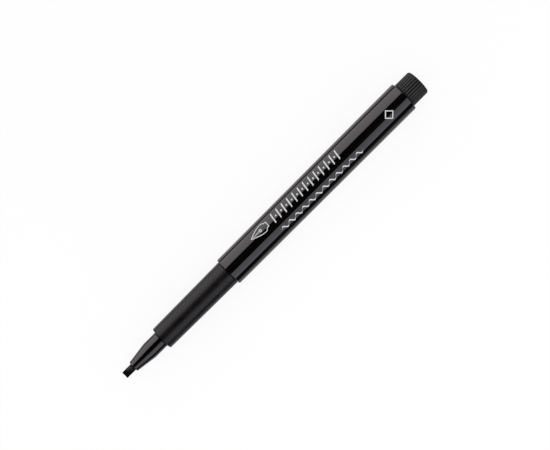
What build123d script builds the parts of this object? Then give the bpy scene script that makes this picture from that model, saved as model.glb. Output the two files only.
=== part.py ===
from build123d import *
import os

# Calligraphy marker, uncapped, lying along X with the nib at -X and +Z up.
# Distances "u" are measured along the pen from the tip of the nib, in mm.

# Overall
LENGTH = 140.0
BARREL_R_REAR = 5.705
AXIS_Z = BARREL_R_REAR          # the widest rim rests on Z = 0

# Nib: a flat fibre chisel
NIB_WIDTH = 2.6
NIB_THICK = 1.8
NIB_EDGE = 0.4                  # thickness left at the writing edge
NIB_BEVEL = 2.8
NIB_LENGTH = 37.0
NIB_GAP = 0.03                  # each side, in the nose and in the reservoir

# Nose cone: the glossy nib holder
NOSE_FRONT = 4.10
NOSE_FRONT_R = 1.975
NOSE_EDGE = 0.28                # rounding of its front rim
NOSE_CONE_END = 11.80
NOSE_BLEND_R = 10.0             # softens the line between cone and cylinder
NOSE_R = 3.05                   # cap seat
NOSE_SEAT_END = 17.12
NOSE_GROOVE_R = 2.85            # bevel down to a shadow line in front of the grip
NOSE_GROOVE_END = 17.45
NOSE_SPIGOT_R = 3.30
NOSE_REAR = 27.7
NOSE_CHANNEL_END = 16.0
NOSE_BORE_R = 2.2
AIR_GROOVE_R = 0.3

# Grip section
GRIP_FRONT = 17.29
GRIP_LEAN = 0.32                # how far the front face leans back
GRIP_FRONT_R = 4.33
GRIP_EDGE = 0.20
GRIP_REAR_R = 4.635
GRIP_NECK_R = 4.40              # shadow gap in front of the barrel
GRIP_NECK_START = 48.97         # a bevel runs from here to the barrel's front
GRIP_NECK_END = 49.50
GRIP_SPIGOT_R = 4.60
GRIP_SPIGOT_END = 61.0
GRIP_STOP = 27.9
GRIP_STOP_R = 2.6
GRIP_BORE_R = 3.75
FIT_GAP = 0.05

# Barrel
BARREL_FRONT = 49.17
BARREL_REAR = 132.77
BARREL_R_FRONT = 5.475
BARREL_BORE_R = 4.40
BARREL_EDGE_FRONT = 0.40        # roundings of its two rims
BARREL_EDGE_REAR = 0.35
FRONT_SEAT_R = GRIP_SPIGOT_R + FIT_GAP
FRONT_SEAT_END = 61.3
REAR_SEAT_START = 120.8
FIN_COUNT = 4
FIN_WIDTH = 0.8
FIN_R = 3.73

# Ink reservoir and its film
RESERVOIR_FRONT = 32.0
RESERVOIR_REAR = 122.0
FIBRE_R = 3.60
FILM_R_IN = 3.605
FILM_R = 3.70
FILM_SETBACK = 0.4

# End plug
PLUG_R = 4.745
PLUG_R_REAR = 4.72
PLUG_FRONT = 121.0
PLUG_BORE_R = 3.95
PLUG_BORE_END = 138.6
PLUG_NECK_R = 4.45              # shadow gap behind the barrel
PLUG_NECK_START = 132.4         # ends in a bevel from the barrel's rear to the ribs
PLUG_CORNER = 0.9
PLUG_CROWN = 0.25
RIB_START = 133.05
RIB_COUNT = 30
GROOVE_WIDTH = 0.36
GROOVE_DEPTH = 0.30
REAR_SEAT_R = PLUG_R + FIT_GAP

PEN_AXIS = Axis((0, 0, AXIS_Z), (1, 0, 0))
PROFILE = Plane(origin=(-LENGTH / 2, 0, AXIS_Z), x_dir=(1, 0, 0), z_dir=(0, -1, 0))


def section_at(u):
    """The plane across the pen at u, facing the rear, with local X along Y."""
    return Plane(origin=(u - LENGTH / 2, 0, AXIS_Z), x_dir=(0, 1, 0), z_dir=(1, 0, 0))


def rim(part, u, r):
    """The circular edges of radius r at u."""
    at = u - LENGTH / 2
    return [
        e
        for e in part.edges().filter_by(GeomType.CIRCLE)
        if abs(e.arc_center.X - at) < 0.01 and abs(e.radius - r) < 0.01
    ]


# Nib: chisel with a bevel on both broad faces, tail chamfered to enter the fibre
with BuildPart() as nib:
    half, edge = NIB_THICK / 2, NIB_EDGE / 2
    with BuildSketch(PROFILE):
        with BuildLine():
            Polyline(
                (0, -edge), (0, edge), (NIB_BEVEL, half), (NIB_LENGTH - 0.8, half),
                (NIB_LENGTH, half - 0.4), (NIB_LENGTH, 0.4 - half),
                (NIB_LENGTH - 0.8, -half), (NIB_BEVEL, -half), close=True,
            )
        make_face()
    extrude(amount=NIB_WIDTH / 2, both=True)
    fillet(nib.edges().filter_by(Axis.X), radius=0.15)
nib.part.label = "nib"

# Nose cone: cone and cap seat outside, flat nib channel with two air grooves inside
with BuildPart() as nose_cone:
    with BuildSketch(PROFILE):
        with BuildLine():
            Polyline(
                (NOSE_FRONT, 0), (NOSE_FRONT, NOSE_FRONT_R), (NOSE_CONE_END, NOSE_R),
                (NOSE_SEAT_END, NOSE_R), (GRIP_FRONT, NOSE_GROOVE_R),
                (NOSE_GROOVE_END, NOSE_GROOVE_R), (NOSE_GROOVE_END, NOSE_SPIGOT_R),
                (NOSE_REAR, NOSE_SPIGOT_R), (NOSE_REAR, 0), close=True,
            )
        make_face()
    revolve(axis=PEN_AXIS)
    fillet(rim(nose_cone, NOSE_FRONT, NOSE_FRONT_R), radius=NOSE_EDGE)
    fillet(rim(nose_cone, NOSE_CONE_END, NOSE_R), radius=NOSE_BLEND_R)
    chamfer(rim(nose_cone, NOSE_REAR, NOSE_SPIGOT_R), length=0.3)
    with BuildSketch(section_at(NOSE_FRONT)):
        Rectangle(NIB_WIDTH + 2 * NIB_GAP, NIB_THICK + 2 * NIB_GAP)
        with Locations((0, NIB_THICK / 2), (0, -NIB_THICK / 2)):
            Circle(AIR_GROOVE_R)
    extrude(amount=NOSE_CHANNEL_END - NOSE_FRONT, mode=Mode.SUBTRACT)
    with BuildSketch(section_at(NOSE_CHANNEL_END)):
        Circle(NOSE_BORE_R)
    extrude(amount=NOSE_REAR - NOSE_CHANNEL_END, mode=Mode.SUBTRACT)
nose_cone.part.label = "nose_cone"

# Grip section: tapered grip, spigot for the barrel, seat for the nose cone
with BuildPart() as grip_section:
    seat_r = NOSE_SPIGOT_R + FIT_GAP
    with BuildSketch(PROFILE):
        with BuildLine():
            Polyline(
                (GRIP_FRONT, seat_r), (GRIP_FRONT + GRIP_LEAN, GRIP_FRONT_R),
                (GRIP_NECK_START, GRIP_REAR_R), (BARREL_FRONT, GRIP_NECK_R),
                (GRIP_NECK_END, GRIP_NECK_R), (GRIP_NECK_END, GRIP_SPIGOT_R),
                (GRIP_SPIGOT_END - 0.5, GRIP_SPIGOT_R),
                (GRIP_SPIGOT_END, GRIP_SPIGOT_R - 0.25),
                (GRIP_SPIGOT_END, GRIP_BORE_R), (GRIP_STOP + 2.0, GRIP_BORE_R),
                (GRIP_STOP + 0.9, GRIP_STOP_R), (GRIP_STOP, GRIP_STOP_R),
                (GRIP_STOP, seat_r), close=True,
            )
        make_face()
    revolve(axis=PEN_AXIS)
    fillet(rim(grip_section, GRIP_FRONT + GRIP_LEAN, GRIP_FRONT_R), radius=GRIP_EDGE)
grip_section.part.label = "grip_section"

# Barrel: tapered tube with a seat at each end and four fins round the reservoir
with BuildPart() as barrel:
    with BuildSketch(PROFILE):
        with BuildLine():
            Polyline(
                (BARREL_FRONT, FRONT_SEAT_R), (BARREL_FRONT, BARREL_R_FRONT),
                (BARREL_REAR, BARREL_R_REAR), (BARREL_REAR, REAR_SEAT_R),
                (REAR_SEAT_START, REAR_SEAT_R), (REAR_SEAT_START, BARREL_BORE_R),
                (FRONT_SEAT_END, BARREL_BORE_R), (FRONT_SEAT_END, FRONT_SEAT_R),
                close=True,
            )
        make_face()
    revolve(axis=PEN_AXIS)
    fillet(rim(barrel, BARREL_FRONT, BARREL_R_FRONT), radius=BARREL_EDGE_FRONT)
    fillet(rim(barrel, BARREL_REAR, BARREL_R_REAR), radius=BARREL_EDGE_REAR)
    fin_height = BARREL_BORE_R - FIN_R + 0.3
    with BuildSketch(section_at(FRONT_SEAT_END + 1.5)):
        with PolarLocations(FIN_R + fin_height / 2, FIN_COUNT, start_angle=45):
            Rectangle(fin_height, FIN_WIDTH)
    extrude(amount=REAR_SEAT_START - FRONT_SEAT_END - 3.0)
barrel.part.label = "barrel"

# Ink reservoir: fibre rod with a pocket for the nib's tail
with BuildPart() as ink_reservoir:
    with BuildSketch(section_at(RESERVOIR_FRONT)):
        Circle(FIBRE_R)
    extrude(amount=RESERVOIR_REAR - RESERVOIR_FRONT)
    with BuildSketch(section_at(RESERVOIR_FRONT)):
        Rectangle(NIB_WIDTH + 2 * NIB_GAP, NIB_THICK + 2 * NIB_GAP)
    extrude(amount=NIB_LENGTH - RESERVOIR_FRONT + 0.1, mode=Mode.SUBTRACT)
ink_reservoir.part.label = "ink_reservoir"

# Film round the fibre rod, open at both ends
with BuildPart() as reservoir_film:
    with BuildSketch(section_at(RESERVOIR_FRONT + FILM_SETBACK)):
        Circle(FILM_R)
        Circle(FILM_R_IN, mode=Mode.SUBTRACT)
    extrude(amount=RESERVOIR_REAR - RESERVOIR_FRONT - 2 * FILM_SETBACK)
reservoir_film.part.label = "reservoir_film"

# End plug: closed cup, ribbed outside, with a cross inside behind the reservoir
with BuildPart() as end_plug:
    with BuildSketch(PROFILE):
        with BuildLine():
            Polyline(
                (LENGTH, 0), (PLUG_BORE_END, 0), (PLUG_BORE_END, PLUG_BORE_R),
                (PLUG_FRONT, PLUG_BORE_R), (PLUG_FRONT, PLUG_R - 0.25),
                (PLUG_FRONT + 0.5, PLUG_R), (PLUG_NECK_START, PLUG_R),
                (PLUG_NECK_START, PLUG_NECK_R), (BARREL_REAR, PLUG_NECK_R),
                (RIB_START, PLUG_R), (LENGTH - PLUG_CROWN, PLUG_R_REAR),
            )
            ThreePointArc(
                (LENGTH - PLUG_CROWN, PLUG_R_REAR),
                (LENGTH - PLUG_CROWN / 4, PLUG_R_REAR / 2),
                (LENGTH, 0),
            )
        make_face()
    revolve(axis=PEN_AXIS)
    fillet(rim(end_plug, LENGTH - PLUG_CROWN, PLUG_R_REAR), radius=PLUG_CORNER)
    with BuildSketch(section_at(RESERVOIR_REAR + FIT_GAP)):
        Rectangle(2 * PLUG_BORE_R + 0.2, 0.8)
        Rectangle(0.8, 2 * PLUG_BORE_R + 0.2)
    extrude(amount=PLUG_BORE_END - RESERVOIR_REAR)
    with BuildSketch(section_at(RIB_START)):
        with PolarLocations(PLUG_R, RIB_COUNT):
            Rectangle(2 * GROOVE_DEPTH, GROOVE_WIDTH)
    extrude(amount=LENGTH - RIB_START + 1, mode=Mode.SUBTRACT)
end_plug.part.label = "end_plug"

os.makedirs("parts", exist_ok=True)
export_step(nib.part, "parts/nib.step")
export_step(nose_cone.part, "parts/nose_cone.step")
export_step(grip_section.part, "parts/grip_section.step")
export_step(barrel.part, "parts/barrel.step")
export_step(ink_reservoir.part, "parts/ink_reservoir.step")
export_step(reservoir_film.part, "parts/reservoir_film.step")
export_step(end_plug.part, "parts/end_plug.step")
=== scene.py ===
import bmesh
import bpy
import math
import random
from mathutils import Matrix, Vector


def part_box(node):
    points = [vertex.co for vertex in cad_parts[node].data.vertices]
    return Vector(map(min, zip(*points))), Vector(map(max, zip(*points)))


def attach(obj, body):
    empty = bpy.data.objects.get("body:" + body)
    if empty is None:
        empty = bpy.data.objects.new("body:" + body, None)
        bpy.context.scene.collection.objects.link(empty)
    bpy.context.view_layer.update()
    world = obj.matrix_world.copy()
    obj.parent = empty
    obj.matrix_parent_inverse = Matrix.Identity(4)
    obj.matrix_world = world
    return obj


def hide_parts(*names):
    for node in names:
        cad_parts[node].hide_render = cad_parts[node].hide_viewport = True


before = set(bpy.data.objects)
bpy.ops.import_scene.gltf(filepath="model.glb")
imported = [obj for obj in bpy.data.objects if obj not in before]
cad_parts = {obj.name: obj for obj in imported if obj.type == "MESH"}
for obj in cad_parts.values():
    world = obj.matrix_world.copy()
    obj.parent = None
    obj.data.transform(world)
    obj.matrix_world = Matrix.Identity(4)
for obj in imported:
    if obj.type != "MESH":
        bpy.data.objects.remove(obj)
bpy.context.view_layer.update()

MM = 0.001
AXIS_Z = (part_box("barrel")[0].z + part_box("barrel")[1].z) / 2
TIP_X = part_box("nib")[0].x
BARREL_LO, BARREL_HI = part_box("barrel")
PLUG_LO, PLUG_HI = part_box("end_plug")
GRIP_LO, GRIP_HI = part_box("grip_section")
NOSE_LO, NOSE_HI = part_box("nose_cone")
NIB_LO, NIB_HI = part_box("nib")
FIBRE_LO, FIBRE_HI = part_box("ink_reservoir")
FILM_LO, FILM_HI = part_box("reservoir_film")


def along(x):
    """Distance from the nib's tip in mm for a frame position in metres."""
    return (x - TIP_X) / MM


# ---------------------------------------------------------------- mesh helpers

def ring_loft(name, rings, count, close_start=False, close_end=False, loop=False):
    """A mesh through rings round the pen's axis.

    Each ring is (u, r), with u in mm from the tip of the nib. r is a radius in mm, or a
    function of the angle that gives a radius or a point (y, z). Angle 0 is +Y, and 90
    degrees is +Z. close_start and close_end close an end with a fan of faces to a point on
    the axis: at the end ring's own u for True, or at another u for a number.
    """
    verts, faces = [], []
    for u, r in rings:
        for k in range(count):
            a = 2 * math.pi * k / count
            rr = r(a) if callable(r) else r
            if isinstance(rr, tuple):
                y, z = rr
            else:
                y, z = rr * math.cos(a), rr * math.sin(a)
            verts.append((TIP_X + u * MM, y * MM, AXIS_Z + z * MM))
    spans = len(rings) if loop else len(rings) - 1
    for i in range(spans):
        j = (i + 1) % len(rings)
        for k in range(count):
            m = (k + 1) % count
            faces.append((i * count + k, i * count + m, j * count + m, j * count + k))
    for closed, i, turn in ((close_start, 0, True), (close_end, len(rings) - 1, False)):
        if closed:
            centre = len(verts)
            centre_u = rings[i][0] if closed is True else closed
            verts.append((TIP_X + centre_u * MM, 0, AXIS_Z))
            for k in range(count):
                m = (k + 1) % count
                tri = (i * count + k, i * count + m, centre)
                faces.append(tri[::-1] if turn else tri)
    mesh = bpy.data.meshes.new(name)
    mesh.from_pydata(verts, [], faces)
    mesh.validate()
    bm = bmesh.new()
    bm.from_mesh(mesh)
    bmesh.ops.recalc_face_normals(bm, faces=bm.faces)
    bm.to_mesh(mesh)
    bm.free()
    obj = bpy.data.objects.new(name, mesh)
    bpy.context.scene.collection.objects.link(obj)
    smooth_by_angle(obj)
    return obj


def smooth_by_angle(obj, degrees=32):
    """Smooth shading, with sharp edges where two faces meet at a larger angle."""
    mesh = obj.data
    mesh.shade_smooth()
    bm = bmesh.new()
    bm.from_mesh(mesh)
    for e in bm.edges:
        if len(e.link_faces) == 2 and e.calc_face_angle(0) > math.radians(degrees):
            e.smooth = False
    bm.to_mesh(mesh)
    bm.free()


def arc(u, r, radius, start, end, steps=6):
    """Ring positions round a corner whose centre is at (u, r), angles in degrees."""
    out = []
    for i in range(steps + 1):
        a = math.radians(start + (end - start) * i / steps)
        out.append((u + radius * math.cos(a), r + radius * math.sin(a)))
    return out


def taper(u, u0, r0, u1, r1):
    """The radius at u of a straight taper from (u0, r0) to (u1, r1)."""
    return r0 + (r1 - r0) * (u - u0) / (u1 - u0)


# ---------------------------------------------------------------- materials

def nodes_of(name):
    mat = bpy.data.materials.new(name)
    mat.use_nodes = True
    tree = mat.node_tree
    return mat, tree, tree.nodes["Principled BSDF"]


def add(tree, kind, **values):
    """A new node, with each value set on the input or the property of that name."""
    node = tree.nodes.new(kind)
    for key, value in values.items():
        if key in node.inputs:
            node.inputs[key].default_value = value
        else:
            setattr(node, key, value)
    return node


def noise(tree, coords, scale, detail=3.0, rough=0.5):
    n = add(tree, "ShaderNodeTexNoise")
    n.inputs["Scale"].default_value = scale
    n.inputs["Detail"].default_value = detail
    n.inputs["Roughness"].default_value = rough
    tree.links.new(coords, n.inputs["Vector"])
    return n


def ramp(tree, factor, low, high, at=(0.35, 0.65)):
    r = add(tree, "ShaderNodeValToRGB")
    r.color_ramp.elements[0].position, r.color_ramp.elements[1].position = at
    r.color_ramp.elements[0].color = (*low, 1)
    r.color_ramp.elements[1].color = (*high, 1)
    tree.links.new(factor, r.inputs["Fac"])
    return r


def spread(tree, factor, low, high, at=(0.3, 0.7)):
    m = add(tree, "ShaderNodeMapRange")
    m.inputs["From Min"].default_value, m.inputs["From Max"].default_value = at
    m.inputs["To Min"].default_value, m.inputs["To Max"].default_value = low, high
    tree.links.new(factor, m.inputs["Value"])
    return m


def object_coords(tree, scale=(1, 1, 1)):
    c = add(tree, "ShaderNodeTexCoord")
    m = add(tree, "ShaderNodeMapping")
    m.inputs["Scale"].default_value = scale
    tree.links.new(c.outputs["Object"], m.inputs["Vector"])
    return m.outputs["Vector"]


def bump(tree, bsdf, height, distance):
    """Relief of the given depth in metres, from a height between 0 and 1."""
    b = add(tree, "ShaderNodeBump")
    b.inputs["Strength"].default_value = 1.0
    b.inputs["Distance"].default_value = distance
    tree.links.new(height, b.inputs["Height"])
    tree.links.new(b.outputs["Normal"], bsdf.inputs["Normal"])


NIB_RELIEF, FILM_RELIEF, INK_RELIEF = 0.00001, 0.00004, 0.000003
# the nib's colour runs from black to its palest, at the pale base where painted light falls on
# the +Y side
NIB_BLACK, NIB_PALEST = (0.0010, 0.0010, 0.0010), (0.075, 0.073, 0.071)
NIB_SPECULAR = 0.06
NIB_SLANT = 0.7                          # how far the pale part's limit leans across the nib; painted light: it starts nearer the tip on the +Y side
PALE_FROM, PALE_TO = 1.6 * MM, 3.2 * MM    # the nib grows pale between these distances from the tip
# painted light: the nib is painted darker towards -Y and lighter towards +Y, between these
# places across it
PAINTED_SHADE_Y, PAINTED_LIGHT_Y = -0.5 * MM, 0.9 * MM
RIB_SHADE = (4.50 * MM, 4.72 * MM)       # painted shade at the bottom of a groove to painted highlight at the top of a rib
END_SHADE = (0.9 * MM, 0.4 * MM)         # the end face lightens this far before the end


def gloss_plastic(name, low, high, roughness, waviness):
    """Polished black plastic: faint moulding streaks, hairline scuffs and dust."""
    mat, t, bsdf = nodes_of(name)
    streaks = noise(t, object_coords(t, (60, 900, 900)), 1.0, 4.0)
    colour = ramp(t, streaks.outputs["Fac"], low, high)
    t.links.new(colour.outputs["Color"], bsdf.inputs["Base Color"])
    scuffs = noise(t, object_coords(t, (350, 2600, 2600)), 1.0, 5.0, 0.65)
    rough = spread(t, scuffs.outputs["Fac"], roughness * 0.8, roughness * 1.35)
    t.links.new(rough.outputs["Result"], bsdf.inputs["Roughness"])
    bsdf.inputs["IOR"].default_value = 1.5
    wave = noise(t, object_coords(t, (25, 420, 420)), 1.0, 2.0)
    bump(t, bsdf, wave.outputs["Fac"], waviness)
    return mat


def spark_plastic(name, low, high, roughness, depth, grain, specular):
    """Matte moulded plastic with a fine spark-eroded grain."""
    mat, t, bsdf = nodes_of(name)
    patch = noise(t, object_coords(t, (220, 220, 220)), 1.0, 4.0)
    fine = noise(t, object_coords(t, (grain, grain, grain)), 1.0, 3.0, 0.6)
    mix = add(t, "ShaderNodeMath", operation="MULTIPLY")
    t.links.new(patch.outputs["Fac"], mix.inputs[0])
    t.links.new(fine.outputs["Fac"], mix.inputs[1])
    colour = ramp(t, mix.outputs["Value"], low, high, (0.12, 0.40))
    t.links.new(colour.outputs["Color"], bsdf.inputs["Base Color"])
    rough = spread(t, patch.outputs["Fac"], roughness * 0.92, roughness * 1.08)
    t.links.new(rough.outputs["Result"], bsdf.inputs["Roughness"])
    bsdf.inputs["Specular IOR Level"].default_value = specular
    bump(t, bsdf, fine.outputs["Fac"], depth)
    return mat


def ribbed_plastic(name, groove, crest_highlight, roughness, specular, depth):
    """Satin moulded plastic, with painted shade in the grooves, a painted highlight on the ribs,
    and lighter just before the end.
    """
    mat, t, bsdf = nodes_of(name)
    from_axis = object_coords(t, (0, 1, 1))
    from_axis.node.inputs["Location"].default_value = (0, 0, -AXIS_Z)
    radius = add(t, "ShaderNodeVectorMath", operation="LENGTH")
    t.links.new(from_axis, radius.inputs[0])
    # painted shade in the grooves and painted highlight on the ribs, by distance from the axis
    painted_rib_shade = spread(t, radius.outputs["Value"], 0.0, 1.0, RIB_SHADE)
    split = add(t, "ShaderNodeSeparateXYZ")
    t.links.new(object_coords(t), split.inputs["Vector"])
    near_end = (PLUG_HI.x - END_SHADE[0], PLUG_HI.x - END_SHADE[1])
    end_face = spread(t, split.outputs["X"], 0.0, 0.7, near_end)
    # the larger of the painted rib shade and highlight and the lighter end
    painted_rib_shade_and_end = add(t, "ShaderNodeMath", operation="MAXIMUM")
    t.links.new(painted_rib_shade.outputs["Result"], painted_rib_shade_and_end.inputs[0])
    t.links.new(end_face.outputs["Result"], painted_rib_shade_and_end.inputs[1])
    grain = noise(t, object_coords(t, (4000, 4000, 4000)), 1.0, 3.0, 0.6)
    patch = noise(t, object_coords(t, (220, 220, 220)), 1.0, 4.0)
    uneven = spread(t, patch.outputs["Fac"], 0.8, 1.0, (0.35, 0.65))
    mix = add(t, "ShaderNodeMath", operation="MULTIPLY")
    t.links.new(painted_rib_shade_and_end.outputs["Value"], mix.inputs[0])
    t.links.new(uneven.outputs["Result"], mix.inputs[1])
    # from the groove colour, painted shade, to the crest colour, painted highlight
    colour = ramp(t, mix.outputs["Value"], groove, crest_highlight, (0, 1))
    t.links.new(colour.outputs["Color"], bsdf.inputs["Base Color"])
    rough = spread(t, patch.outputs["Fac"], roughness * 0.92, roughness * 1.08)
    t.links.new(rough.outputs["Result"], bsdf.inputs["Roughness"])
    bsdf.inputs["Specular IOR Level"].default_value = specular
    bump(t, bsdf, grain.outputs["Fac"], depth)
    return mat


def fibre(name, low, high, roughness, depth):
    """Bonded fibre: strands along the pen, darker where the ink pools."""
    mat, t, bsdf = nodes_of(name)
    strands = noise(t, object_coords(t, (500, 9000, 9000)), 1.0, 4.0, 0.6)
    pools = noise(t, object_coords(t, (700, 900, 900)), 1.0, 3.0)
    mix = add(t, "ShaderNodeMath", operation="MULTIPLY")
    t.links.new(strands.outputs["Fac"], mix.inputs[0])
    t.links.new(pools.outputs["Fac"], mix.inputs[1])
    colour = ramp(t, mix.outputs["Value"], low, high, (0.12, 0.42))
    t.links.new(colour.outputs["Color"], bsdf.inputs["Base Color"])
    rough = spread(t, pools.outputs["Fac"], roughness * 0.75, min(1.0, roughness * 1.2))
    t.links.new(rough.outputs["Result"], bsdf.inputs["Roughness"])
    bump(t, bsdf, strands.outputs["Fac"], depth)
    return mat


def nib_fibre(name):
    """Bonded fibre soaked with ink: black at the edge, paler at the base, with painted light
    making the +Y side lighter.
    """
    mat, t, bsdf = nodes_of(name)
    coords = object_coords(t)
    split = add(t, "ShaderNodeSeparateXYZ")
    t.links.new(coords, split.inputs["Vector"])
    # painted light: the pale base's limit leans, so it starts nearer the tip on the +Y side
    slant = add(t, "ShaderNodeMath", operation="MULTIPLY_ADD")
    t.links.new(split.outputs["Y"], slant.inputs[0])
    slant.inputs[1].default_value = NIB_SLANT
    t.links.new(split.outputs["X"], slant.inputs[2])
    pale_to_base = spread(t, slant.outputs["Value"], 0.0, 1.0, (TIP_X + PALE_FROM, TIP_X + PALE_TO))
    # painted light: lighter on the +Y side, darker on the -Y side
    painted_side_light = spread(t, split.outputs["Y"], 0.20, 1.0, (PAINTED_SHADE_Y, PAINTED_LIGHT_Y))
    strands = noise(t, object_coords(t, (900, 7000, 7000)), 1.0, 4.0, 0.6)
    blots = noise(t, object_coords(t, (1500, 1500, 1500)), 1.0, 3.0)
    spots = spread(t, blots.outputs["Fac"], 0.35, 1.0, (0.35, 0.6))
    first = add(t, "ShaderNodeMath", operation="MULTIPLY")
    second = add(t, "ShaderNodeMath", operation="MULTIPLY")
    t.links.new(pale_to_base.outputs["Result"], first.inputs[0])
    t.links.new(painted_side_light.outputs["Result"], first.inputs[1])
    t.links.new(first.outputs["Value"], second.inputs[0])
    t.links.new(spots.outputs["Result"], second.inputs[1])
    colour = ramp(t, second.outputs["Value"], NIB_BLACK, NIB_PALEST, (0, 1))
    t.links.new(colour.outputs["Color"], bsdf.inputs["Base Color"])
    rough = spread(t, strands.outputs["Fac"], 0.45, 0.75)
    t.links.new(rough.outputs["Result"], bsdf.inputs["Roughness"])
    bsdf.inputs["Specular IOR Level"].default_value = NIB_SPECULAR
    bump(t, bsdf, strands.outputs["Fac"], NIB_RELIEF)
    return mat


def film(name):
    """Thin milky film round the reservoir, with the dark fibre showing through."""
    mat, t, bsdf = nodes_of(name)
    creases = noise(t, object_coords(t, (120, 700, 700)), 1.0, 3.0)
    colour = ramp(t, creases.outputs["Fac"], (0.10, 0.10, 0.115), (0.30, 0.30, 0.32))
    t.links.new(colour.outputs["Color"], bsdf.inputs["Base Color"])
    rough = spread(t, creases.outputs["Fac"], 0.18, 0.4)
    t.links.new(rough.outputs["Result"], bsdf.inputs["Roughness"])
    bump(t, bsdf, creases.outputs["Fac"], FILM_RELIEF)
    return mat


def mark_ink(name):
    """Pad-printed white ink, a little thin and uneven."""
    mat, t, bsdf = nodes_of(name)
    thin = noise(t, object_coords(t, (1800, 1800, 1800)), 1.0, 4.0, 0.6)
    colour = ramp(t, thin.outputs["Fac"], (0.70, 0.70, 0.71), (0.92, 0.92, 0.93))
    t.links.new(colour.outputs["Color"], bsdf.inputs["Base Color"])
    rough = spread(t, thin.outputs["Fac"], 0.4, 0.6)
    t.links.new(rough.outputs["Result"], bsdf.inputs["Roughness"])
    bump(t, bsdf, thin.outputs["Fac"], INK_RELIEF)
    return mat


BARREL_MAT = gloss_plastic("barrel_plastic", (0.0012, 0.0012, 0.0013), (0.003, 0.003, 0.0032),
                           0.045, 0.0000012)
NOSE_MAT = gloss_plastic("nose_plastic", (0.0012, 0.0012, 0.0013), (0.003, 0.003, 0.0034),
                         0.09, 0.000001)
GRIP_MAT = spark_plastic("grip_plastic", (0.0008, 0.0008, 0.0009), (0.008, 0.0077, 0.008),
                         0.34, 0.000024, 2600, 0.26)
# the groove colour is painted shade and the crest colour is painted highlight
PLUG_MAT = ribbed_plastic("plug_plastic", (0.001, 0.001, 0.001), (0.036, 0.0356, 0.0364),
                          0.55, 0.22, 0.000006)
NIB_MAT = nib_fibre("nib_fibre")
FIBRE_MAT = fibre("reservoir_fibre", (0.006, 0.006, 0.008), (0.03, 0.03, 0.036), 0.7, 0.00002)
FILM_MAT = film("clear_film")
MARK_MAT = mark_ink("mark_ink")


def finish_piece(obj, material, body, slot, *nodes):
    """Material and body of a piece, and the CAD nodes it stands in for. The slot argument is not
    used.
    """
    obj.data.materials.append(material)
    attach(obj, body)
    if nodes:
        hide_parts(*nodes)
    return obj


# ---------------------------------------------------------------- barrel

B0, B1 = along(BARREL_LO.x), along(BARREL_HI.x)
B_R1 = (BARREL_HI.y - BARREL_LO.y) / 2 / MM
B_R0 = 5.475
SEAT0_R, SEAT0_END = 4.65, 61.3      # seat of the grip section's spigot
SEAT1_R, SEAT1_START = 4.795, 120.8  # seat of the end plug's cup
BORE_R = 4.40
FIN_R, FIN_HALF_W = 3.73, 0.4        # four fins hold the ink rod
FINS = (62.8, 62.85, 119.25, 119.3)  # their front end rises between the first two places,
                                     # and their rear end falls between the last two
EDGE0, EDGE1 = 0.40, 0.35            # roundings of the two rims
RIM_FLAT = 0.05
MOUTH_LENGTH, MOUTH_DEPTH = 0.1, 0.08      # bevel at the mouth of each seat
BARREL_STATIONS, BARREL_SIDES = 24, 288


def finned(a):
    """Bore radius with four fins at 45, 135, 225 and 315 degrees."""
    off = abs(a % (math.pi / 2) - math.pi / 4)
    half = math.asin(FIN_HALF_W / FIN_R)
    return FIN_R / math.cos(off) if off < half else BORE_R


def make_barrel():
    rings = [(SEAT0_END, BORE_R), (SEAT0_END, SEAT0_R), (B0 + MOUTH_LENGTH, SEAT0_R),
             (B0, SEAT0_R + MOUTH_DEPTH), (B0, B_R0 - EDGE0 - RIM_FLAT)]
    rings += arc(B0 + EDGE0, B_R0 - EDGE0, EDGE0, 180, 90, 9)
    for i in range(1, BARREL_STATIONS):
        u = B0 + EDGE0 + (B1 - B0 - EDGE0 - EDGE1) * i / BARREL_STATIONS
        rings.append((u, taper(u, B0, B_R0, B1 - EDGE1, B_R1)))
    rings += arc(B1 - EDGE1, B_R1 - EDGE1, EDGE1, 90, 0, 9)
    rings += [(B1, SEAT1_R + MOUTH_DEPTH), (B1 - MOUTH_LENGTH, SEAT1_R),
              (SEAT1_START, SEAT1_R), (SEAT1_START, BORE_R)]
    rings += [(FINS[3], BORE_R), (FINS[2], finned), (FINS[1], finned), (FINS[0], BORE_R)]
    obj = ring_loft("barrel_shell", rings, BARREL_SIDES, loop=True)
    return finish_piece(obj, BARREL_MAT, "barrel_body", "barrel_plastic", "barrel")


make_barrel()


# ---------------------------------------------------------------- grip section

G0, G1 = along(GRIP_LO.x), along(GRIP_HI.x)
GRIP_R0, GRIP_R1 = 4.33, (GRIP_HI.y - GRIP_LO.y) / 2 / MM
GRIP_SEAT_R, GRIP_SEAT_END = 3.35, 27.9    # seat of the nose cone's spigot
GRIP_LEAN, GRIP_EDGE = 0.32, 0.20          # how far the front face leans back, its rounding
NECK_R, NECK_START, NECK_END = 4.40, 48.97, 49.50     # dark line in front of the barrel
GRIP_SPIGOT_R, GRIP_SPIGOT_TIP_R, GRIP_SPIGOT_BEVEL = 4.60, 4.35, 0.5
GRIP_BORE_R, GRIP_BORE_START = 3.75, 29.9  # room for the ink rod
NIB_HOLE_R, NIB_HOLE_END = 2.6, 28.8       # hole that the nib's tail goes through
GRIP_STATIONS, GRIP_SIDES = 13, 224


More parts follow.
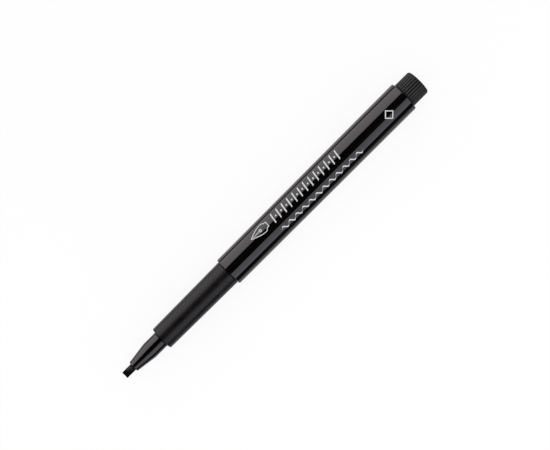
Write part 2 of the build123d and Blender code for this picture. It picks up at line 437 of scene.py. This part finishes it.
def make_grip():
    seat, lean, edge = GRIP_SEAT_R, GRIP_LEAN, GRIP_EDGE
    slope = math.degrees(math.atan2(GRIP_R0 - seat, lean))
    rings = [(GRIP_SEAT_END, seat), (G0 + 0.12, seat), (G0 + 0.02, seat + 0.06)]
    rings += [(G0 + lean * 0.75, seat + (GRIP_R0 - seat) * 0.75)]
    rings += arc(G0 + lean + edge * 0.80, GRIP_R0 - edge, edge, 90 + slope, 90)
    for i in range(1, GRIP_STATIONS + 1):
        u = G0 + lean + edge + (NECK_START - 0.06 - G0 - lean - edge) * i / GRIP_STATIONS
        rings.append((u, taper(u, G0 + lean, GRIP_R0, NECK_START, GRIP_R1)))
    rings += [(NECK_START - 0.02, GRIP_R1 - 0.005), (NECK_START + 0.01, GRIP_R1 - 0.03)]
    rings += [(B0, NECK_R), (NECK_END, NECK_R), (NECK_END, GRIP_SPIGOT_R)]
    rings += [(G1 - GRIP_SPIGOT_BEVEL, GRIP_SPIGOT_R), (G1, GRIP_SPIGOT_TIP_R)]
    rings += [(G1, GRIP_BORE_R), (GRIP_BORE_START, GRIP_BORE_R)]
    rings += [(NIB_HOLE_END, NIB_HOLE_R), (GRIP_SEAT_END, NIB_HOLE_R)]
    obj = ring_loft("grip_shell", rings, GRIP_SIDES, loop=True)
    return finish_piece(obj, GRIP_MAT, "grip_body", "grip_plastic", "grip_section")


make_grip()


# ---------------------------------------------------------------- nose cone and nib

N0, N1 = along(NOSE_LO.x), along(NOSE_HI.x)
NOSE_R0, NOSE_R1, CONE_END = 1.975, 3.05, 11.80       # radii at the cone's front and rear
NOSE_BLEND = 10.0                    # softens the line between cone and cylinder
NOSE_EDGE = 0.28                     # rounding of the front rim
SEAT_END, GROOVE_R, GROOVE_END = 17.12, 2.85, 17.45   # dark line in front of the grip
CHANNEL_END, POCKET_R = 16.0, 2.2    # narrow part of the nib's channel, wide part behind it
NIB_GAP, MOUTH_GAP, AIR_GROOVE_R = 0.03, 0.08, 0.3
NOSE_SIDES = 240
NIB_HALF_W = (NIB_HI.y - NIB_LO.y) / 2 / MM
NIB_HALF_T = (NIB_HI.z - NIB_LO.z) / 2 / MM


def slot_shape(half_w, half_t, corner=0.0, groove=0.0):
    """A rectangle's outline by angle, with rounded corners or two air grooves."""
    def at(a):
        c, s = math.cos(a), math.sin(a)
        k = min(half_w / max(abs(c), 1e-9), half_t / max(abs(s), 1e-9))
        y, z = k * c, k * s
        if groove and abs(y) < groove:
            z += math.copysign(math.sqrt(groove * groove - y * y), z)
        if corner:
            inside_y, inside_z = half_w - corner, half_t - corner
            dy, dz = abs(y) - inside_y, abs(z) - inside_z
            if dy > 0 and dz > 0:
                d = math.hypot(dy, dz)
                y = math.copysign(inside_y + dy * corner / d, y)
                z = math.copysign(inside_z + dz * corner / d, z)
        return (y, z)
    return at


def nose_profile():
    """Cone, soft blend and cylinder, from the front rim to the rear."""
    cone_end, r0, r1, blend, edge = CONE_END, NOSE_R0, NOSE_R1, NOSE_BLEND, NOSE_EDGE
    slope = math.atan2(r1 - r0, cone_end - N0)
    reach = blend * math.tan(slope / 2)
    centre = r0 + edge * math.tan(slope) - edge / math.cos(slope)
    rings = arc(N0 + edge, centre, edge, 180, 90 + math.degrees(slope), 8)
    start = rings[-1][0] + 0.05
    for i in range(8):
        u = start + (cone_end - reach - start) * i / 8
        rings.append((u, taper(u, N0, r0, cone_end, r1)))
    for i in range(9):
        a = slope * (1 - i / 8)
        rings.append((cone_end + reach - blend * math.sin(a), r1 - blend * (1 - math.cos(a))))
    spigot = (NOSE_HI.y - NOSE_LO.y) / 2 / MM
    rings += [(14.0, r1), (16.0, r1), (SEAT_END - 0.02, r1), (SEAT_END + 0.01, r1 - 0.02)]
    rings += [(G0, GROOVE_R), (GROOVE_END, GROOVE_R), (GROOVE_END, spigot)]
    rings += [(20.0, spigot), (N1 - 0.3, spigot), (N1, spigot - 0.3), (N1, 2.25)]
    return rings


def make_nose():
    channel = slot_shape(NIB_HALF_W + NIB_GAP, NIB_HALF_T + NIB_GAP, groove=AIR_GROOVE_R)
    mouth = slot_shape(NIB_HALF_W + MOUTH_GAP, NIB_HALF_T + MOUTH_GAP, groove=AIR_GROOVE_R)
    rings = [(CHANNEL_END, channel), (N0 + 0.08, channel), (N0, mouth)]
    rings += nose_profile()
    rings += [(N1 - 0.05, POCKET_R), (CHANNEL_END, POCKET_R)]
    obj = ring_loft("nose_holder", rings, NOSE_SIDES, loop=True)
    return finish_piece(obj, NOSE_MAT, "nose_body", "nose_plastic", "nose_cone")


make_nose()


EDGE_HALF_T = 0.2         # half the thickness of the writing edge
NIB_BEVEL = 2.8           # the chisel's bevels end here
WORN = 0.2                # the edge is worn round over this length
WORN_SIDE, WORN_FACE = 0.12, 0.08
TAIL_NARROW, TAIL_THIN = 0.1, 0.4
FELT = 0.008              # unevenness of the faces
NIB_CORNER = 0.15
NIB_SIDES = 160


def make_nib():
    """Felted chisel: worn edge, soft corners and slightly uneven faces."""
    rng = random.Random(7)
    length = along(NIB_HI.x)
    rings = []
    stations = [0.0, 0.03, 0.09, 0.2, 0.5, 1.0, 1.5, 2.0, 2.5, 2.8, 3.1, 3.6, 4.1, 5.0,
                10.0, 20.0, 30.0, length - 0.8, length]
    for u in stations:
        t = min(1.0, u / NIB_BEVEL)
        half_t = EDGE_HALF_T + (NIB_HALF_T - EDGE_HALF_T) * t
        half_w = NIB_HALF_W
        if u < WORN:
            pull = 1 - math.sqrt(max(0.0, 1 - ((WORN - u) / WORN) ** 2))
            half_w -= WORN_SIDE * pull
            half_t -= WORN_FACE * pull
        if u == length:
            half_t -= TAIL_THIN
            half_w -= TAIL_NARROW
        wobble = FELT * rng.random() if WORN < u < 4 else 0.0
        corner = min(NIB_CORNER, half_t * 0.8)
        rings.append((u, slot_shape(half_w - wobble, half_t - wobble, corner=corner)))
    obj = ring_loft("nib_chisel", rings, NIB_SIDES, close_start=True, close_end=True)
    return finish_piece(obj, NIB_MAT, "nib_body", "nib_fibre", "nib")


make_nib()


# ---------------------------------------------------------------- end plug

P0, P1 = along(PLUG_LO.x), along(PLUG_HI.x)
PLUG_R, PLUG_R1 = 4.745, 4.72
RIBS, RIB_START, RIB_DEPTH = 30, 133.05, 0.27
RIB_CROWN, GROOVE_SHARE = 0.05, 0.42       # roundness of a rib, width of a groove
CUP_R, CUP_FLOOR = 3.95, 138.6             # hollow that the ink rod ends in
CUP_BEVEL, CUP_BEVEL_LENGTH = 0.25, 0.5
PLUG_NECK_R, PLUG_NECK_START = 4.45, 132.4   # dark line behind the barrel
PLUG_CORNER, PLUG_CROWN = 0.9, 0.25
SIDES_PER_RIB = 14


def ribbed(base, depth):
    """Rounded ribs with narrow grooves between them."""
    if depth <= 0:
        return base

    def at(a):
        phase = (a * RIBS / (2 * math.pi) + 0.5) % 1.0
        off = abs(phase - 0.5) * 2          # 0 in a groove, 1 on a crest
        groove = max(0.0, 1 - off / GROOVE_SHARE)
        shape = math.sin(groove * math.pi / 2) ** 1.3
        crown = RIB_CROWN * (1 - math.sin(min(1.0, off) * math.pi / 2))
        return base - depth * shape - crown * min(1, depth / RIB_DEPTH)
    return at


def make_plug():
    corner = PLUG_CORNER
    rings = [(CUP_FLOOR, CUP_R), (P0, CUP_R), (P0, PLUG_R - CUP_BEVEL),
             (P0 + CUP_BEVEL_LENGTH, PLUG_R), (PLUG_NECK_START, PLUG_R),
             (PLUG_NECK_START, PLUG_NECK_R), (B1, PLUG_NECK_R)]
    for i, fall in enumerate((0.10, 0.04, 0.01, 0.0)):
        rings.append((RIB_START + 0.04 * i, ribbed(PLUG_R - fall, RIB_DEPTH - fall * 0.8)))
    end = P1 - PLUG_CROWN
    for i in range(1, 8):
        u = RIB_START + 0.4 + (end - corner - RIB_START - 0.4) * i / 8
        rings.append((u, ribbed(taper(u, B1, PLUG_R, end, PLUG_R1), RIB_DEPTH)))
    for i, (u, r) in enumerate(arc(end - corner, PLUG_R1 - corner, corner, 90, 4, 12)):
        share = max(0.0, 1 - (i / 9.0) ** 3)
        rings.append((u, ribbed(r, RIB_DEPTH * share)))
    for i in range(1, 9):
        r = (PLUG_R1 - corner) * (1 - i / 8.0)
        rings.append((P1 - PLUG_CROWN * (r / PLUG_R1) ** 2, max(r, 0.02)))
    obj = ring_loft("ribbed_plug", rings, RIBS * SIDES_PER_RIB,
                    close_end=True, close_start=CUP_FLOOR)
    return finish_piece(obj, PLUG_MAT, "plug_body", "plug_plastic", "end_plug")


make_plug()


# ---------------------------------------------------------------- reservoir

ROD_R, ROD_SOFT_R, ROD_END_R = 3.6, 3.55, 3.35      # its ends are soft and rounded
FILM_IN_R, FILM_R, FILM_LAP_R = 3.605, 3.685, 3.70  # thicker where it laps over itself
FILM_LAP_START, FILM_LAP_WIDTH = math.radians(100), math.radians(40)
RESERVOIR_SIDES = 144


def make_reservoir():
    """The ink rod, with a pocket for the nib's tail, and the film wrapped round it."""
    f0, f1 = along(FIBRE_LO.x), along(FIBRE_HI.x)
    pocket = slot_shape(NIB_HALF_W + NIB_GAP, NIB_HALF_T + NIB_GAP)
    mouth = slot_shape(NIB_HALF_W + MOUTH_GAP, NIB_HALF_T + MOUTH_GAP)
    tail = along(NIB_HI.x) + 0.1
    rings = [(tail, pocket), (f0 + 0.05, pocket), (f0, mouth), (f0, ROD_END_R),
             (f0 + 0.12, ROD_SOFT_R + 0.01), (f0 + 0.3, ROD_R), (f1 - 0.3, ROD_R),
             (f1 - 0.1, ROD_SOFT_R), (f1, ROD_END_R)]
    rod = ring_loft("fibre_rod", rings, RESERVOIR_SIDES, close_start=tail, close_end=True)
    finish_piece(rod, FIBRE_MAT, "barrel_body", "reservoir_fibre", "ink_reservoir")
    w0, w1 = along(FILM_LO.x), along(FILM_HI.x)

    def outer(a):
        off = (a - FILM_LAP_START) % (2 * math.pi)
        return FILM_LAP_R if off < FILM_LAP_WIDTH else FILM_R

    rings = [(w0, FILM_IN_R), (w0, outer), ((w0 + w1) / 2, outer), (w1, outer),
             (w1, FILM_IN_R)]
    wrap = ring_loft("film_wrap", rings, RESERVOIR_SIDES, loop=True)
    finish_piece(wrap, FILM_MAT, "barrel_body", "clear_film", "reservoir_film")


make_reservoir()


# ---------------------------------------------------------------- printed marks

LIFT = 0.012      # ink stands this far off the barrel, in mm
STEP = 0.2        # longest straight piece of a mark, in mm, so that it bends with the barrel
SLANT, CUT = 0.55, 0.30        # lean of a stroke from foot to head, slope of its ends
WAVE_NIB = math.radians(60)    # angle at which the wave's square nib is held


def wrap_point(u, h):
    """A point of a mark: u along the pen, h the arc length up from the top line."""
    r = taper(u, B0, B_R0, B1, B_R1)
    a = math.pi / 2 - h / r
    rr = r + LIFT
    return (TIP_X + u * MM, rr * math.cos(a) * MM, AXIS_Z + rr * math.sin(a) * MM)


def marks(name, shapes):
    """One mesh of flat shapes wrapped on the barrel. A shape is a strip of point pairs."""
    verts, faces = [], []
    for strip in shapes:
        base = len(verts)
        rows = 1 + max(1, math.ceil(max(math.dist(low, high) for low, high in strip) / STEP))
        for low, high in strip:
            for k in range(rows):
                s = k / (rows - 1)
                verts.append(wrap_point(low[0] + (high[0] - low[0]) * s,
                                        low[1] + (high[1] - low[1]) * s))
        for i in range(len(strip) - 1):
            for k in range(rows - 1):
                p = base + i * rows + k
                faces.append((p, p + rows, p + rows + 1, p + 1))
    mesh = bpy.data.meshes.new(name)
    mesh.from_pydata(verts, [], faces)
    mesh.validate()
    obj = bpy.data.objects.new(name, mesh)
    bpy.context.scene.collection.objects.link(obj)
    mesh.shade_smooth()
    return finish_piece(obj, MARK_MAT, "barrel_body", "mark_ink")


def bar(p, q, width, cut=0.0):
    """A stroke of one width from p to q, with ends cut by a slanting nib."""
    steps = max(2, math.ceil(math.dist(p, q) / STEP))
    out = []
    for i in range(steps + 1):
        s = i / steps
        u, h = p[0] + (q[0] - p[0]) * s, p[1] + (q[1] - p[1]) * s
        out.append(((u - width / 2, h - cut / 2), (u + width / 2, h + cut / 2)))
    return out


def fence(u0, count, pitch, low, high, width):
    """A practice row: broad slanted downstrokes with a nib-made diamond between each two."""
    shapes = []
    mid, half = (low + high) / 2, width * 0.75
    for i in range(count):
        u = u0 + i * pitch
        shapes.append(bar((u, low), (u + SLANT, high), width, CUT))
        if i + 1 < count:
            centre = u + 0.28 + pitch / 2      # 0.28 is about half the lean
            shapes.append([((centre - half, mid), (centre - half, mid)),
                           ((centre, mid - half), (centre, mid + half)),
                           ((centre + half, mid), (centre + half, mid))])
    return shapes


def wave(u0, u1, mid, swing, period, width):
    """A running wave drawn with a square nib held at 60 degrees."""
    du = math.cos(WAVE_NIB) * width / 2
    dh = math.sin(WAVE_NIB) * width / 2
    steps = int((u1 - u0) / period * 20)
    strip = []
    for i in range(steps + 1):
        u = u0 + (u1 - u0) * i / steps
        h = mid + swing * math.sin(2 * math.pi * (u - u0) / period)
        strip.append(((u - du, h - dh), (u + du, h + dh)))
    return [strip]


def outline(points, width):
    """A closed line of one width round a list of points, with mitred corners."""
    strip = []
    count = len(points)
    for i in range(count + 1):
        before, here, after = points[(i - 1) % count], points[i % count], points[(i + 1) % count]
        d0 = Vector((here[0] - before[0], here[1] - before[1])).normalized()
        d1 = Vector((after[0] - here[0], after[1] - here[1])).normalized()
        mitre = Vector((-d0.y - d1.y, d0.x + d1.x)).normalized()
        reach = width / 2 / max(0.35, mitre.dot(Vector((-d0.y, d0.x))))
        strip.append(((here[0] - mitre.x * reach, here[1] - mitre.y * reach),
                      (here[0] + mitre.x * reach, here[1] + mitre.y * reach)))
    return fine(strip)


def fine(strip):
    """The same strip with more points, so that it bends round the barrel."""
    out = []
    for (a, b), (c, d) in zip(strip, strip[1:]):
        steps = max(1, math.ceil(math.dist(a, c) / STEP))
        for i in range(steps):
            k = i / steps
            out.append(((a[0] + (c[0] - a[0]) * k, a[1] + (c[1] - a[1]) * k),
                        (b[0] + (d[0] - b[0]) * k, b[1] + (d[1] - b[1]) * k)))
    return out + [strip[-1]]


def ring(u, h, r, width, count=24):
    """A small circle drawn on the barrel."""
    turns = [2 * math.pi * i / count for i in range(count)]
    return outline([(u + r * math.cos(a), h + r * math.sin(a)) for a in turns], width)


def nib_sign(u0, mid, width):
    """The outline of a plain nib pointing forward, with its slit and round hole."""
    half = [(0.0, 0.0), (1.3, 0.62), (2.8, 1.22), (4.3, 1.62), (5.6, 1.72), (6.2, 1.50),
            (6.5, 1.05), (7.4, 0.95)]
    points = [(u0 + x, mid + y) for x, y in half] + [(u0 + x, mid - y) for x, y in half[:0:-1]]
    return [outline(points, width), ring(u0 + 4.2, mid, 0.42, width),
            bar((u0 + 0.9, mid), (u0 + 3.7, mid), 0.0, width * 0.8)]


def diamond(u, h, half, width):
    """A hollow square standing on its corner."""
    return [outline([(u - half, h), (u, h + half), (u + half, h), (u, h - half)], width)]


marks("mark_fence", fence(72.3, 13, 2.51, 0.35, 4.05, 0.50))
marks("mark_wave", wave(72.0, 110.0, -2.95, 0.66, 3.17, 0.46))
marks("mark_nib", nib_sign(62.4, 2.25, 0.26))
marks("mark_diamond", diamond(124.4, -0.85, 1.75, 0.36))


# ---------------------------------------------------------------- floor, light, camera

FLOOR_SIZE, FLOOR_DROP = 6, 0.00002        # metres; the drop keeps it off the pen's rims
FLOOR_GLOW = 0.885                         # most of its light is its own, as on a cut-out


def make_floor():
    """Nearly white paper that doesn't show in the pen's reflections."""
    bpy.ops.mesh.primitive_plane_add(size=FLOOR_SIZE, location=(0, 0, -FLOOR_DROP))
    floor = bpy.context.object
    floor.name = "floor"
    mat, t, bsdf = nodes_of("floor_paper")
    tone = noise(t, object_coords(t, (3, 3, 3)), 1.0, 2.0)
    colour = ramp(t, tone.outputs["Fac"], (0.13, 0.13, 0.13), (0.15, 0.15, 0.15))
    t.links.new(colour.outputs["Color"], bsdf.inputs["Base Color"])
    bsdf.inputs["Roughness"].default_value = 0.95
    bsdf.inputs["Specular IOR Level"].default_value = 0.0
    bsdf.inputs["Emission Color"].default_value = (1, 1, 1, 1)
    bsdf.inputs["Emission Strength"].default_value = FLOOR_GLOW
    floor.data.materials.append(mat)
    floor.visible_glossy = False


make_floor()

# Softboxes and dark cards run beside the pen, seen only by glossy rays. Each stop is the
# angle from straight up, positive towards +Y, then the light's colour.
SOFTBOXES = [
    (-180, (0.70, 0.70, 0.72)), (-108, (0.70, 0.70, 0.72)), (-106.2, (0.02, 0.02, 0.03)),
    (-74.6, (0.02, 0.02, 0.03)), (-72.8, (2.00, 1.97, 2.30)), (-60, (1.70, 1.68, 1.95)),
    (-40, (1.50, 1.48, 1.70)), (-26, (1.45, 1.43, 1.58)), (-24, (0.006, 0.005, 0.006)),
    (30, (0.006, 0.005, 0.006)), (31.8, (2.85, 2.70, 2.72)), (38, (2.10, 1.98, 2.00)),
    (48, (2.60, 2.35, 2.40)), (101, (2.50, 2.28, 2.34)), (102.5, (0.01, 0.01, 0.01)),
    (112.5, (0.01, 0.01, 0.01)), (114, (1.00, 0.94, 0.96)), (180, (1.00, 0.94, 0.96)),
]
BRIGHTEST = 3.0
PLAIN_LEVEL = 0.80
TOE, TOE_RANGE = -0.077, (0.02, 0.09)      # the bands move inwards in rays that go rearwards
END_FADE, END_FADE_RANGE = 0.10, (0.66, 0.90)     # they fade past the two ends of the pen


def make_world():
    """Plain pale light for matt surfaces, and the softboxes for glossy ones."""
    world = bpy.data.worlds.new("studio")
    bpy.context.scene.world = world
    world.use_nodes = True
    t = world.node_tree
    plain = t.nodes["Background"]
    plain.inputs["Color"].default_value = (1.0, 1.0, 1.0, 1)
    plain.inputs["Strength"].default_value = PLAIN_LEVEL
    coords = add(t, "ShaderNodeTexCoord")
    split = add(t, "ShaderNodeSeparateXYZ")
    t.links.new(coords.outputs["Generated"], split.inputs["Vector"])
    toe = spread(t, split.outputs["X"], 0.0, TOE, TOE_RANGE)
    height = add(t, "ShaderNodeMath", operation="ADD")
    t.links.new(split.outputs["Z"], height.inputs[0])
    t.links.new(toe.outputs["Result"], height.inputs[1])
    turn = add(t, "ShaderNodeMath", operation="ARCTAN2")
    t.links.new(split.outputs["Y"], turn.inputs[0])
    t.links.new(height.outputs["Value"], turn.inputs[1])
    share = spread(t, turn.outputs["Value"], 0.0, 1.0, (-math.pi, math.pi))
    bands = add(t, "ShaderNodeValToRGB")
    stops = bands.color_ramp.elements
    while len(stops) < len(SOFTBOXES):
        stops.new(0.5)
    for stop, (angle, _) in zip(stops, SOFTBOXES):      # all places first: moving a stop
        stop.position = (angle + 180) / 360             # can change the stops' order
    for stop, (_, colour) in zip(stops, SOFTBOXES):
        stop.color = (*[c / BRIGHTEST for c in colour], 1)
    t.links.new(share.outputs["Result"], bands.inputs["Fac"])
    past_end = add(t, "ShaderNodeMath", operation="ABSOLUTE")
    t.links.new(split.outputs["X"], past_end.inputs[0])
    level = spread(t, past_end.outputs["Value"], BRIGHTEST, BRIGHTEST * END_FADE,
                   END_FADE_RANGE)
    soft = add(t, "ShaderNodeBackground")
    t.links.new(level.outputs["Result"], soft.inputs["Strength"])
    t.links.new(bands.outputs["Color"], soft.inputs["Color"])
    path = add(t, "ShaderNodeLightPath")
    pick = add(t, "ShaderNodeMixShader")
    t.links.new(path.outputs["Is Glossy Ray"], pick.inputs["Fac"])
    t.links.new(plain.outputs["Background"], pick.inputs[1])
    t.links.new(soft.outputs["Background"], pick.inputs[2])
    t.links.new(pick.outputs["Shader"], t.nodes["World Output"].inputs["Surface"])
    world.cycles.sampling_method = "NONE"


make_world()


PICTURE_WIDTH = 550
UNIT = 0.3363 * MM                     # one picture unit at the height of the pen's axis
AIM = (0.00144, 0.00004)               # the pen's middle isn't quite in the picture's


def make_camera():
    """Straight above, turned so that the pen runs from lower left to upper right."""
    data = bpy.data.cameras.new("camera")
    data.sensor_width, data.lens = 36.0, 131.0
    data.clip_start, data.clip_end = 0.05, 20.0
    cam = bpy.data.objects.new("camera", data)
    distance = data.lens * PICTURE_WIDTH * UNIT / data.sensor_width
    cam.location = (*AIM, AXIS_Z + distance)
    cam.rotation_euler = (0, 0, -math.pi / 4)
    bpy.context.scene.collection.objects.link(cam)
    bpy.context.scene.camera = cam


make_camera()
bpy.context.scene.view_settings.view_transform = "Standard"
bpy.context.scene.view_settings.look = "None"
